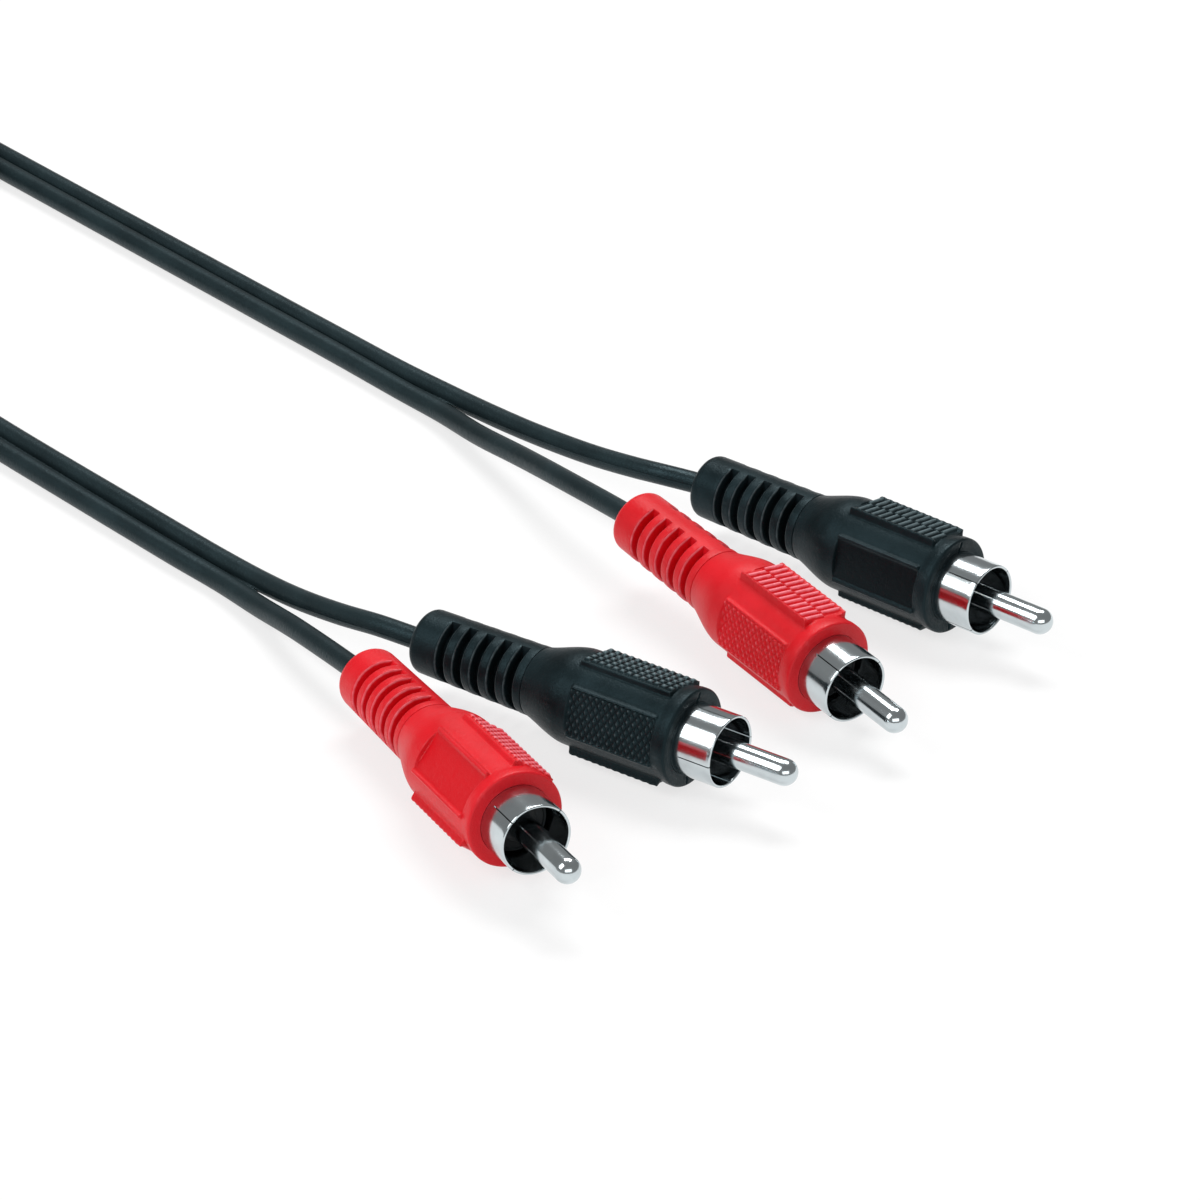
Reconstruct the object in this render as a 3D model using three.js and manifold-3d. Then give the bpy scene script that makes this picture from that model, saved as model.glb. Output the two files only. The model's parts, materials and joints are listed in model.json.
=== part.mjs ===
// Stereo phono lead: a twin cord with a red and a black moulded phono plug at each end.
// Millimetres, +Z up. The plugs and the coiled cord lie on the plane z = 0, as on a table.
// In a plug's own frame +X points out along its pin, x = 0 is the front face of the
// moulded body, +Z is the middle of the ribbed grip pad and +Y is the left side.

import * as THREE from 'three';
import { mergeVertices } from 'three/addons/utils/BufferGeometryUtils.js';
import Module from 'manifold-3d';

const wasm = await Module();
wasm.setup();

// Clearances
const seatGap = 0.3;
const cutMargin = 1;

// Centre pin
const pinDiameter = 3.2;
const pinReach = 14.2;
const pinStemDiameter = 1.8;
const pinStemLength = 9.6;
const solderCupDiameter = 1.1;
const solderCupDepth = 1.6;

// Ground shell, the outer contact
const shellDiameter = 8.7;
const shellWall = 0.35;
const shellReach = 5.2;
const shellSeatDepth = 3.7;
const neckDiameter = 4.8;
const neckLength = 3.2;
const slitWidth = 0.35;
const slitLength = 4.3;
const slitCount = 4;

// Insulator
const insulatorFace = 0.6;
const insulatorHubDiameter = 3.5;
const insulatorChamfer = 0.3;

// Moulded body
const bodyDiameter = 11.6;
const collarDiameter = 11.9;
const collarLength = 2;
const collarChamfer = 0.35;
const collarStep = 0.2;
const mouthDiameter = 10;
const mouthDepth = 0.6;
const bodyLength = 15.6;
const flareLength = 5.9;

// Strain relief boot
const bootLength = 16.6;
const bootFrontDiameter = 8.4;
const bootRearDiameter = 7.86;
const bootRearRound = 0.95;
const slotCount = 5;
const slotWidth = 1.2;
const slotPitch = 2.5;
const firstSlotOffset = 1.85;
const slotFloorDiameter = 5.2;
const spineWidth = 2.3;

// Grip pads above and below, panels left and right
const padLength = 12.5;
const padHalfWidth = 3.05;
const padHeight = 6;
const ribCount = 12;
const ribHeight = 0.42;
const ribSplit = 0.22;
const padKnobColumns = 10;
const padKnobRows = 4;
const padKnobHeight = 0.4;
const panelLength = 12;
const panelHalfWidth = 3.05;
const panelHeight = 5.5;
const panelFrame = 0.42;
const panelRecess = 0.26;
const panelKnobColumns = 10;
const panelKnobRows = 5;
const panelKnobHeight = 0.34;

// Inner mould, and the stripped cord end inside it
const mouldRearDiameter = 5.8;
const mouldLength = 15;
const mouldStraight = 6.8;
const jacketReach = 22.7;
const coreDiameter = 1.3;
const wireDiameter = 0.56;
const wireBare = 2.4;
const screenDiameter = 0.8;
const screenOverlap = 1.8;

// Cord: one strand of the twin cord, and the coil of its middle stretch, which has an inner and
// an outer column of turns. Both ends of the cord run over the table to it at the run angle.
const strandDiameter = 2.4;
const strandStep = 7.2;
const twinPitch = 2.7;
const runAngle = 131.56;
const coilX = -127.306;
const coilY = 142.719;
const coilRadius = 23.77;
const coilWidth = 10.7;
const coilHeight = 12.2;
const coilOuterHeight = 9.75;
const coilEdge = 1;

// Where the front faces of the plugs lie
const leftRedX = -21.016;
const leftRedY = -34.101;
const leftBlackX = -0.956;
const leftBlackY = -15.571;
const rightRedX = 14.954;
const rightRedY = 0.919;
const rightBlackX = 30.534;
const rightBlackY = 19.549;

// Facets round each kind of section
const bodySides = 20;
const shellSides = 18;
const innerSides = 12;
const wireSides = 8;
const coilSides = 24;

// Stations along the plug's axis
const bodyRear = -bodyLength;
const bootFront = bodyRear - flareLength;
const bootRear = bootFront - bootLength;
const padFront = -collarLength;
const padRear = padFront - padLength;
const panelRear = padFront - panelLength;
const neckFront = -shellSeatDepth;
const neckRear = neckFront - neckLength;
const mouldFront = neckFront - seatGap;
const mouldShoulder = mouldFront - mouldStraight;
const mouldRear = mouldFront - mouldLength;
const jacketFront = bootRear + jacketReach;
const stemRear = insulatorFace - pinStemLength;

// Radii of the hollow in the moulded body
const cavityRadius = shellDiameter / 2 + seatGap;
const cordBore = strandDiameter / 2 + seatGap;

// Pads and panels are rooted in the body's wall, just outside the hollow.
const plateRoot = cavityRadius + 0.15;

const looks = {
  red: { color: 0xd8202f, roughness: 0.45, metalness: 0 },
  black: { color: 0x1c2224, roughness: 0.5, metalness: 0 },
  nickel: { color: 0xcfd3d6, roughness: 0.14, metalness: 1 },
  insulator: { color: 0x15181a, roughness: 0.45, metalness: 0 },
  innerMould: { color: 0xd9d8cf, roughness: 0.6, metalness: 0 },
  cord: { color: 0x23292b, roughness: 0.5, metalness: 0 },
  core: { color: 0xe6e4da, roughness: 0.5, metalness: 0 },
  copper: { color: 0xb87340, roughness: 0.35, metalness: 1 },
};

const radians = THREE.MathUtils.degToRad;

// Solids

function signedVolume(position) {
  const [a, b, c] = [new THREE.Vector3(), new THREE.Vector3(), new THREE.Vector3()];
  let volume = 0;
  for (let i = 0; i < position.count; i += 3) {
    a.fromBufferAttribute(position, i);
    b.fromBufferAttribute(position, i + 1);
    c.fromBufferAttribute(position, i + 2);
    volume += a.dot(b.cross(c)) / 6;
  }
  return volume;
}

// A closed surface as a solid: shared corners merged, faces turned outward
function toSolid(geometry) {
  const bare = geometry.index ? geometry.toNonIndexed() : geometry.clone();
  bare.deleteAttribute('normal');
  bare.deleteAttribute('uv');
  const inward = signedVolume(bare.attributes.position) < 0;
  const merged = mergeVertices(bare, 1e-4);
  const index = merged.index.array;
  const triangles = [];
  for (let i = 0; i < index.length; i += 3) {
    const [a, b, c] = [index[i], index[i + 1], index[i + 2]];
    if (a === b || b === c || c === a) continue;
    triangles.push(...(inward ? [a, c, b] : [a, b, c]));
  }
  return new wasm.Manifold(new wasm.Mesh({
    numProp: 3,
    vertProperties: new Float32Array(merged.attributes.position.array),
    triVerts: new Uint32Array(triangles),
  }));
}

function toGeometry(solid) {
  const mesh = solid.getMesh();
  const geometry = new THREE.BufferGeometry();
  geometry.setAttribute('position', new THREE.BufferAttribute(mesh.vertProperties, 3));
  geometry.setIndex(new THREE.BufferAttribute(mesh.triVerts, 1));
  geometry.computeVertexNormals();
  return geometry;
}

// A solid turned about the X axis from a list of [x, radius] that closes on itself or on the axis
function turned(profile, sides) {
  const points = profile.map(([x, radius]) => new THREE.Vector2(radius, x));
  if (profile[0][1] > 0) points.push(points[0].clone());
  const geometry = new THREE.LatheGeometry(points, sides);
  geometry.rotateZ(-Math.PI / 2);
  return toSolid(geometry);
}

// A solid pushed out from a list of corners: drawn as [y, z], from x0 to x1
function pushedAlongX(corners, x0, x1) {
  const shape = new THREE.Shape(corners.map(([y, z]) => new THREE.Vector2(y, z)));
  const geometry = new THREE.ExtrudeGeometry(shape, { depth: x1 - x0, bevelEnabled: false });
  geometry.rotateX(Math.PI / 2).rotateZ(Math.PI / 2).translate(x0, 0, 0);
  return toSolid(geometry);
}

// The same, drawn as [x, z], from y0 to y1
function pushedAlongY(corners, y0, y1) {
  const shape = new THREE.Shape(corners.map(([x, z]) => new THREE.Vector2(x, z)));
  const geometry = new THREE.ExtrudeGeometry(shape, { depth: y1 - y0, bevelEnabled: false });
  geometry.rotateX(Math.PI / 2).translate(0, y1, 0);
  return toSolid(geometry);
}

function block(x0, x1, y0, y1, z0, z1) {
  const geometry = new THREE.BoxGeometry(x1 - x0, y1 - y0, z1 - z0);
  geometry.translate((x0 + x1) / 2, (y0 + y1) / 2, (z0 + z1) / 2);
  return toSolid(geometry);
}

// A round rod of even thickness along a curve
function rod(curve, diameter, sides, steps) {
  const section = new THREE.Shape();
  for (let k = 0; k < sides; k += 1) {
    const angle = ((k + 0.5) / sides) * Math.PI * 2;
    const corner = [Math.cos(angle) * diameter / 2, Math.sin(angle) * diameter / 2];
    if (k === 0) section.moveTo(...corner);
    else section.lineTo(...corner);
  }
  section.closePath();
  return toSolid(new THREE.ExtrudeGeometry(section, { steps, bevelEnabled: false, extrudePath: curve }));
}

// Turns a solid round the plug's axis
const rolled = (solid, degrees) => solid.rotate([degrees, 0, 0]);

// Moulded body

// Pyramids in rows, sharing their base corners at z0, on a block that goes down to the root
function knobField({ rear, front, columns, halfWidth, rows, root, z0, height }) {
  const dx = (front - rear) / columns;
  const dy = (2 * halfWidth) / rows;
  const at = (i, j, z) => [rear + i * dx, -halfWidth + j * dy, z];
  const positions = [];
  const triangle = (a, b, c) => positions.push(...a, ...b, ...c);

  for (let i = 0; i < columns; i += 1) {
    for (let j = 0; j < rows; j += 1) {
      const corners = [at(i, j, z0), at(i + 1, j, z0), at(i + 1, j + 1, z0), at(i, j + 1, z0)];
      const peak = at(i + 0.5, j + 0.5, z0 + height);
      corners.forEach((corner, k) => triangle(corner, corners[(k + 1) % 4], peak));
    }
  }

  // Each side wall is a fan from one of its lower corners over the base corners above.
  const turns = [[0, 0, 1, 0, columns], [columns, 0, 0, 1, rows], [columns, rows, -1, 0, columns], [0, rows, 0, -1, rows]];
  turns.forEach(([i, j, di, dj, count]) => {
    const hub = at(i, j, root);
    const far = at(i + di * count, j + dj * count, root);
    triangle(hub, far, at(i + di * count, j + dj * count, z0));
    for (let k = count; k > 0; k -= 1) {
      triangle(hub, at(i + di * k, j + dj * k, z0), at(i + di * (k - 1), j + dj * (k - 1), z0));
    }
  });
  triangle(at(0, 0, root), at(columns, rows, root), at(columns, 0, root));
  triangle(at(0, 0, root), at(0, rows, root), at(columns, rows, root));

  const geometry = new THREE.BufferGeometry();
  geometry.setAttribute('position', new THREE.BufferAttribute(new Float32Array(positions), 3));
  return toSolid(geometry);
}

// Cross ribs in two rows, one row half a pitch ahead of the other, with a groove between them
function ribbedPad() {
  const valley = padHeight - ribHeight;
  const pitch = padLength / (ribCount + 0.5);
  const row = (start, y0, y1) => {
    const corners = [[start, plateRoot], [start + ribCount * pitch, plateRoot]];
    for (let i = ribCount; i > 0; i -= 1) {
      corners.push([start + i * pitch, valley], [start + (i - 0.5) * pitch, padHeight]);
    }
    corners.push([start, valley]);
    return pushedAlongY(corners, y0, y1);
  };
  return block(padRear, padFront, -padHalfWidth, padHalfWidth, plateRoot, valley)
    .add(row(padRear, ribSplit / 2, padHalfWidth))
    .add(row(padRear + pitch / 2, -padHalfWidth, -ribSplit / 2));
}

function knobbedPad() {
  return knobField({
    rear: padRear,
    front: padFront,
    columns: padKnobColumns,
    halfWidth: padHalfWidth,
    rows: padKnobRows,
    root: plateRoot,
    z0: padHeight - padKnobHeight,
    height: padKnobHeight,
  });
}

// A thin raised frame round a bare or a knobbed floor, drawn facing +Z
function panel(knobbed) {
  const floor = panelHeight - panelRecess;
  const innerRear = panelRear + panelFrame;
  const innerFront = padFront - panelFrame;
  const innerHalf = panelHalfWidth - panelFrame;
  const plate = block(panelRear, padFront, -panelHalfWidth, panelHalfWidth, plateRoot, panelHeight);
  const recess = block(innerRear, innerFront, -innerHalf, innerHalf, floor, panelHeight + cutMargin);
  if (!knobbed) return plate.subtract(recess);
  return plate.subtract(recess).add(knobField({
    rear: innerRear,
    front: innerFront,
    columns: panelKnobColumns,
    halfWidth: innerHalf,
    rows: panelKnobRows,
    root: plateRoot,
    z0: floor,
    height: panelKnobHeight,
  }));
}

// What is levelled off the round body under a pad or a panel, because their floors lie below its
// surface, drawn facing +Z
const seat = (rear, halfWidth) => block(rear, padFront, -halfWidth, halfWidth, plateRoot, collarDiameter);

function bodyProfile() {
  const collar = collarDiameter / 2;
  const body = bodyDiameter / 2;
  const boot = bootFrontDiameter / 2;
  const rear = bootRearDiameter / 2;
  const round = bootRearRound;
  const flare = new THREE.CubicBezierCurve(
    new THREE.Vector2(bodyRear, body),
    new THREE.Vector2(bodyRear - flareLength * 0.3, body),
    new THREE.Vector2(bootFront + flareLength * 0.3, boot + 0.4),
    new THREE.Vector2(bootFront, boot),
  ).getPoints(4);
  return [
    [0, mouthDiameter / 2],
    [0, collar - collarChamfer],
    [-collarChamfer, collar],
    [padFront + collarStep, collar],
    [padFront, body],
    ...flare.map((point) => [point.x, point.y]),
    [bootRear + round, rear],
    [bootRear + round * 0.3, rear - round * 0.3],
    [bootRear, rear - round],
    [bootRear, cordBore],
    [mouldRear - seatGap, cordBore],
    [mouldRear - seatGap, mouldRearDiameter / 2 + seatGap],
    [mouldShoulder, cavityRadius],
    [-mouthDepth, cavityRadius],
    [-mouthDepth, mouthDiameter / 2],
  ];
}

// A strain relief slot on the left side. It runs in to the core of the boot between the spines
// at the top and the bottom, with no undercut, so that it leaves the mould sideways.
function slot(x) {
  const core = slotFloorDiameter / 2;
  const spine = spineWidth / 2;
  const outside = bootFrontDiameter / 2 + cutMargin;
  const upper = [
    [core * Math.cos(radians(30)), core * Math.sin(radians(30))],
    [spine, Math.sqrt(core ** 2 - spine ** 2)],
    [spine, outside],
    [outside, outside],
  ];
  const lower = upper.map(([y, z]) => [y, -z]).reverse();
  return pushedAlongX([...lower, ...upper], x - slotWidth / 2, x + slotWidth / 2);
}

// The red body is the black one's mirror image: its knobbed panel is on the other side.
function makeBody(knobSide) {
  let body = turned(bodyProfile(), bodySides);
  [0, 180].forEach((side) => {
    body = body.subtract(rolled(seat(padRear, padHalfWidth), side));
    body = body.add(rolled(side === 0 ? ribbedPad() : knobbedPad(), side));
  });
  [90, -90].forEach((side) => {
    body = body.subtract(rolled(seat(panelRear, panelHalfWidth), side));
    body = body.add(rolled(panel(side === knobSide), side));
  });
  for (let i = 0; i < slotCount; i += 1) {
    const cut = slot(bootFront - firstSlotOffset - i * slotPitch);
    body = body.subtract(cut).subtract(rolled(cut, 180));
  }
  return toGeometry(body);
}

// Metal parts and insulator

function makeShell() {
  const outer = shellDiameter / 2;
  const inner = outer - shellWall;
  const neckOuter = neckDiameter / 2;
  const neckInner = neckOuter - shellWall;
  const lip = shellWall / 2;
  let shell = turned([
    [shellReach - lip, outer],
    [shellReach, outer - lip],
    [shellReach, inner],
    [neckFront + shellWall, inner],
    [neckFront + shellWall, neckInner],
    [neckRear, neckInner],
    [neckRear, neckOuter],
    [neckFront, neckOuter],
    [neckFront, outer],
  ], shellSides);
  const slit = block(shellReach - slitLength, shellReach + cutMargin, -slitWidth / 2, slitWidth / 2, 0, shellDiameter);
  for (let k = 0; k < slitCount; k += 1) shell = shell.subtract(rolled(slit, (360 / slitCount) * k));
  return toGeometry(shell);
}

function makeInsulator() {
  const disc = shellDiameter / 2 - shellWall - seatGap;
  const hub = insulatorHubDiameter / 2;
  const bore = pinStemDiameter / 2 + seatGap;
  const discRear = neckFront + shellWall + seatGap;
  return toGeometry(turned([
    [insulatorFace, bore],
    [insulatorFace, disc - insulatorChamfer],
    [insulatorFace - insulatorChamfer, disc],
    [discRear, disc],
    [discRear, hub],
    [neckRear, hub],
    [neckRear, bore],
  ], innerSides));
}

function makePin() {
  const radius = pinDiameter / 2;
  const stem = pinStemDiameter / 2;
  const cup = solderCupDiameter / 2;
  const shoulder = insulatorFace + seatGap;
  const nose = [0, 22.5, 45, 67.5, 90].map((degrees) => [
    pinReach - radius * (1 - Math.cos(radians(degrees))),
    radius * Math.sin(radians(degrees)),
  ]);
  return toGeometry(turned([
    ...nose,
    [shoulder, radius],
    [shoulder, stem],
    [stemRear, stem],
    [stemRear, cup],
    [stemRear + solderCupDepth, cup],
    [stemRear + solderCupDepth, 0],
  ], innerSides));
}

// Stripped cord end and inner mould

// The screen is gathered to a tail that runs from the jacket's end to the shell's neck.
function screenCurve() {
  const atNeck = neckDiameter / 2 + seatGap + screenDiameter / 2;
  const atCore = coreDiameter / 2 + seatGap + screenDiameter / 2;
  return new THREE.CatmullRomCurve3([
    new THREE.Vector3(jacketFront + seatGap, 0, atCore),
    new THREE.Vector3((jacketFront + neckRear) / 2, 0, (atCore + atNeck) / 2),
    new THREE.Vector3(neckRear, 0, atNeck),
    new THREE.Vector3(neckRear + screenOverlap, 0, atNeck),
  ]);
}

const makeScreenTail = (clearance) => rod(screenCurve(), screenDiameter + 2 * clearance, wireSides - 2, 5);

function makeInnerMould() {
  const front = cavityRadius - seatGap;
  const neck = neckDiameter / 2 + seatGap;
  const stem = pinStemDiameter / 2 + seatGap;
  const core = coreDiameter / 2 + seatGap;
  const mould = turned([
    [mouldFront, neck],
    [mouldFront, front],
    [mouldShoulder, front],
    [mouldRear, mouldRearDiameter / 2],
    [mouldRear, cordBore],
    [jacketFront + seatGap, cordBore],
    [jacketFront + seatGap, core],
    [stemRear - seatGap, core],
    [stemRear - seatGap, stem],
    [neckRear - seatGap, stem],
    [neckRear - seatGap, neck],
  ], innerSides);
  return toGeometry(mould.subtract(makeScreenTail(seatGap)));
}

function makeCoreWire() {
  const wire = wireDiameter / 2;
  const core = coreDiameter / 2;
  const tip = stemRear + wireBare / 2;
  const insulationEnd = stemRear - wireBare / 4;
  return toGeometry(turned([
    [tip, 0],
    [tip, wire],
    [insulationEnd, wire],
    [insulationEnd, core],
    [jacketFront + seatGap, core],
    [jacketFront + seatGap, 0],
  ], wireSides));
}

function makeJacketEnd() {
  const radius = strandDiameter / 2;
  return toGeometry(turned([[jacketFront, 0], [jacketFront, radius], [bootRear, radius], [bootRear, 0]], wireSides));
}

// Plugs

function piece(name, geometry, look) {
  const mesh = new THREE.Mesh(geometry, new THREE.MeshStandardMaterial(looks[look]));
  mesh.name = name;
  return mesh;
}

const bodies = { red: makeBody(90), black: makeBody(-90) };
const innerMould = makeInnerMould();
const shell = makeShell();
const insulator = makeInsulator();
const pin = makePin();
const coreWire = makeCoreWire();
const screenTail = toGeometry(makeScreenTail(0));
const jacketEnd = makeJacketEnd();

// How far a body reaches below its own origin once it is turned
function depthBelow(geometry, rotation) {
  const position = geometry.attributes.position;
  const point = new THREE.Vector3();
  let lowest = Infinity;
  for (let i = 0; i < position.count; i += 1) {
    lowest = Math.min(lowest, point.fromBufferAttribute(position, i).applyEuler(rotation).z);
  }
  return -lowest;
}

// The place is that of the front face's centre; the pin points along the heading, with its nose
// up by so much; the body is rolled round its axis, and the shell sits turned in it, in degrees.
function makePlug(name, colour, { x, y, heading, nose, roll, shellTurn }) {
  const plug = new THREE.Group();
  plug.rotation.set(radians(roll), radians(-nose), radians(heading), 'ZYX');
  plug.position.set(x, y, depthBelow(bodies[colour], plug.rotation));
  const shellPiece = piece(`${name}_ground_shell`, shell, 'nickel');
  shellPiece.rotation.x = radians(shellTurn);
  plug.add(
    piece(`${name}_body`, bodies[colour], colour),
    piece(`${name}_inner_mould`, innerMould, 'innerMould'),
    shellPiece,
    piece(`${name}_insulator`, insulator, 'insulator'),
    piece(`${name}_centre_pin`, pin, 'nickel'),
    piece(`${name}_core_wire`, coreWire, 'core'),
    piece(`${name}_screen_tail`, screenTail, 'copper'),
    piece(`${name}_jacket_end`, jacketEnd, 'cord'),
  );
  plug.updateMatrixWorld();
  return plug;
}

// Cord

const coilCentre = new THREE.Vector2(coilX, coilY);
const run = new THREE.Vector2(Math.cos(radians(runAngle)), Math.sin(radians(runAngle)));
const across = new THREE.Vector2(run.y, -run.x);

// Where a strand that passes the coil's centre at the given distance meets the coil's outside
function coilEntry(offset) {
  const outside = coilRadius + coilWidth / 2 + seatGap;
  const nearest = Math.abs(offset) - strandDiameter / 2;
  const short = Math.sqrt(outside ** 2 - nearest ** 2);
  const end = coilCentre.clone().addScaledVector(across, offset).addScaledVector(run, -short);
  return new THREE.Vector3(end.x, end.y, strandDiameter / 2);
}

// A strand leaves its plug along the plug's axis, follows the points over the table, and ends
// at the coil.
function makeStrand(plug, points, coilOffset) {
  const route = [
    plug.localToWorld(new THREE.Vector3(bootRear - seatGap, 0, 0)),
    plug.localToWorld(new THREE.Vector3(bootRear - seatGap - strandDiameter, 0, 0)),
    ...points.map((point) => new THREE.Vector3(...point)),
    coilEntry(coilOffset),
  ];
  const curve = new THREE.CatmullRomCurve3(route);
  return toGeometry(rod(curve, strandDiameter, wireSides, Math.round(curve.getLength() / strandStep)));
}

// The outer shape of the coil: its outer column is one turn lower than its inner one.
function makeCoil() {
  const inner = coilRadius - coilWidth / 2;
  const outer = coilRadius + coilWidth / 2;
  const profile = [
    [inner + coilEdge, 0],
    [outer - coilEdge, 0],
    [outer, coilEdge],
    [outer, coilOuterHeight - coilEdge],
    [outer - coilEdge, coilOuterHeight],
    [coilRadius, coilHeight],
    [inner + coilEdge, coilHeight],
    [inner, coilHeight - coilEdge],
    [inner, coilEdge],
    [inner + coilEdge, 0],
  ].map(([radius, height]) => new THREE.Vector2(radius, height));
  const geometry = new THREE.LatheGeometry(profile, coilSides).rotateX(Math.PI / 2);
  return toGeometry(toSolid(geometry));
}

// Assembly

const plugs = {
  left_red: makePlug('left_red', 'red', {
    x: leftRedX, y: leftRedY, heading: -62.5, nose: 2.17, roll: 141.5, shellTurn: -7,
  }),
  left_black: makePlug('left_black', 'black', {
    x: leftBlackX, y: leftBlackY, heading: -35.75, nose: 0, roll: 167, shellTurn: 13,
  }),
  right_red: makePlug('right_red', 'red', {
    x: rightRedX, y: rightRedY, heading: -54.5, nose: -3.62, roll: -7.3, shellTurn: 45,
  }),
  right_black: makePlug('right_black', 'black', {
    x: rightBlackX, y: rightBlackY, heading: -40.5, nose: 0, roll: -10.5, shellTurn: 48,
  }),
};

// At the coil the twin cord lies flat, with its middle in line with the middle of a column. The
// left pair turns over on its way there, so that the red strand is the inner one at both ends.
const innerColumn = coilRadius - coilWidth / 4;
const outerColumn = coilRadius + coilWidth / 4;
const strands = {
  left_red: {
    coilOffset: -(innerColumn - twinPitch / 2),
    points: [
      [-47, 13.3, 3.7], [-52.1, 22.1, 1.9], [-57.2, 29.4, 1.2], [-62.3, 35, 1.2], [-67.5, 40.9, 1.2],
      [-92.9, 70.1, 1.2], [-97.2, 75.6, 1.2], [-101.8, 82.2, 1.2], [-106.5, 88.8, 1.2], [-110.8, 94.3, 1.2],
    ],
  },
  left_black: {
    coilOffset: -(innerColumn + twinPitch / 2),
    points: [
      [-37.4, 10.9, 5.8], [-42.3, 15.9, 4.5], [-47.3, 21.6, 3.2], [-52.3, 27.8, 2.2],
      [-57.4, 33.6, 1.9], [-62.5, 39.3, 1.9], [-67.8, 45.3, 1.9],
      [-90.9, 71.9, 1.9], [-95.9, 76.8, 3.3], [-101.8, 82.2, 4], [-107.6, 87.4, 3.4],
      [-112.1, 91.9, 2.2], [-116.4, 96.5, 1.35],
    ],
  },
  right_red: {
    coilOffset: outerColumn - twinPitch / 2,
    points: [
      [-16.4, 46.1, 6.2], [-21.4, 55, 4.3], [-26.5, 63.4, 2.6], [-31.6, 71.7, 1.5],
      [-36.8, 78.1, 1.2], [-44.7, 87.3, 1.2], [-55.5, 99.5, 1.2],
    ],
  },
  right_black: {
    coilOffset: outerColumn + twinPitch / 2,
    points: [
      [-4.2, 47.4, 6], [-6.7, 49.4, 5.6], [-11.6, 54.1, 4.6], [-16.5, 59.5, 3.6], [-21.5, 65.1, 2.8],
      [-26.6, 70.9, 2.2], [-31.7, 76.5, 1.9], [-36.9, 82.2, 1.7], [-44.8, 91.5, 1.4], [-50.2, 97.7, 1.3],
    ],
  },
};

const lead = new THREE.Group();
Object.entries(plugs).forEach(([name, plug]) => {
  const { points, coilOffset } = strands[name];
  lead.add(plug, piece(`${name}_strand`, makeStrand(plug, points, coilOffset), 'cord'));
});
const coil = piece('cord_coil', makeCoil(), 'cord');
coil.position.set(coilCentre.x, coilCentre.y, 0);
lead.add(coil);

export default lead;
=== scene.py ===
import json
import math

import bmesh
import bpy
from mathutils import Matrix, Vector, noise


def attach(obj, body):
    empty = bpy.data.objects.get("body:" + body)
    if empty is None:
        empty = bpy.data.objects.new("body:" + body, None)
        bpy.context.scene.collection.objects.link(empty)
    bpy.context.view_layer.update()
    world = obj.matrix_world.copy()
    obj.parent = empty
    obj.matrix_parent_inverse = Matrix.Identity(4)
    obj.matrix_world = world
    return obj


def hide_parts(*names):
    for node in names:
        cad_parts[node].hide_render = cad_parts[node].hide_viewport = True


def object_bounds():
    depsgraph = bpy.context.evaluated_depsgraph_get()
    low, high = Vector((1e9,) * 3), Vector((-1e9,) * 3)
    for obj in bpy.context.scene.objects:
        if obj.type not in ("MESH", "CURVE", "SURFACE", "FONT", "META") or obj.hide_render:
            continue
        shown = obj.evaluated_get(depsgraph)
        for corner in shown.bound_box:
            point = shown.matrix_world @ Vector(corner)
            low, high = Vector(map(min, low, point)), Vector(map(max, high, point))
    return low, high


# A stereo phono lead on a white table: four moulded plugs and the twin cord that joins them.

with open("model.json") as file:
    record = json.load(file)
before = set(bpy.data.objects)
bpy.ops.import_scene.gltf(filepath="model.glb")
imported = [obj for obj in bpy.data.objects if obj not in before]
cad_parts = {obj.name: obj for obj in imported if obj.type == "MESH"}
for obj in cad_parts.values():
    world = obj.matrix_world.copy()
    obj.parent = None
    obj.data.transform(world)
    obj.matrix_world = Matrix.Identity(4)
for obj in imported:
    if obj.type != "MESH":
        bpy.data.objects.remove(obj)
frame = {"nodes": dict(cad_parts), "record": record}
cad_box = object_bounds()

scene = bpy.context.scene
MM = 0.001
PHOTO_SIDE = 1200

# ---------------------------------------------------------------- camera

CAMERA_PLACE = (-0.011993, -0.67089, 0.403778)
CAMERA_DOWN = 30.241
LENS = 201.59
OPTICAL_X, OPTICAL_Y = 596.31, 622.955


def make_camera():
    """The photograph's camera. It looks along +Y and down, and its optical axis is shifted."""
    data = bpy.data.cameras.new("camera")
    data.lens = LENS
    data.sensor_width = 36
    data.shift_x = (PHOTO_SIDE / 2 - OPTICAL_X) / PHOTO_SIDE
    data.shift_y = (OPTICAL_Y - PHOTO_SIDE / 2) / PHOTO_SIDE
    data.clip_start = 0.05
    data.clip_end = 50
    camera = bpy.data.objects.new("camera", data)
    camera.location = CAMERA_PLACE
    camera.rotation_euler = (math.radians(90 - CAMERA_DOWN), 0, 0)
    scene.collection.objects.link(camera)
    scene.camera = camera


make_camera()
scene.view_settings.view_transform = "Standard"


# ---------------------------------------------------------------- shader building


class Value:
    """A socket of a finish. Arithmetic on it adds Math nodes, with the number on either side."""

    def __init__(self, finish, socket):
        self.finish = finish
        self.socket = socket

    def math(self, operation, *operands):
        return self.finish.node(
            "ShaderNodeMath", {"operation": operation}, dict(enumerate(operands))
        )

    def __add__(self, other):
        return self.math("ADD", self, other)

    def __sub__(self, other):
        return self.math("SUBTRACT", self, other)

    def __rsub__(self, other):
        return self.math("SUBTRACT", other, self)

    def __mul__(self, other):
        return self.math("MULTIPLY", self, other)

    __radd__ = __add__
    __rmul__ = __mul__

    def larger(self, other):
        return self.math("MAXIMUM", self, other)


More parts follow.
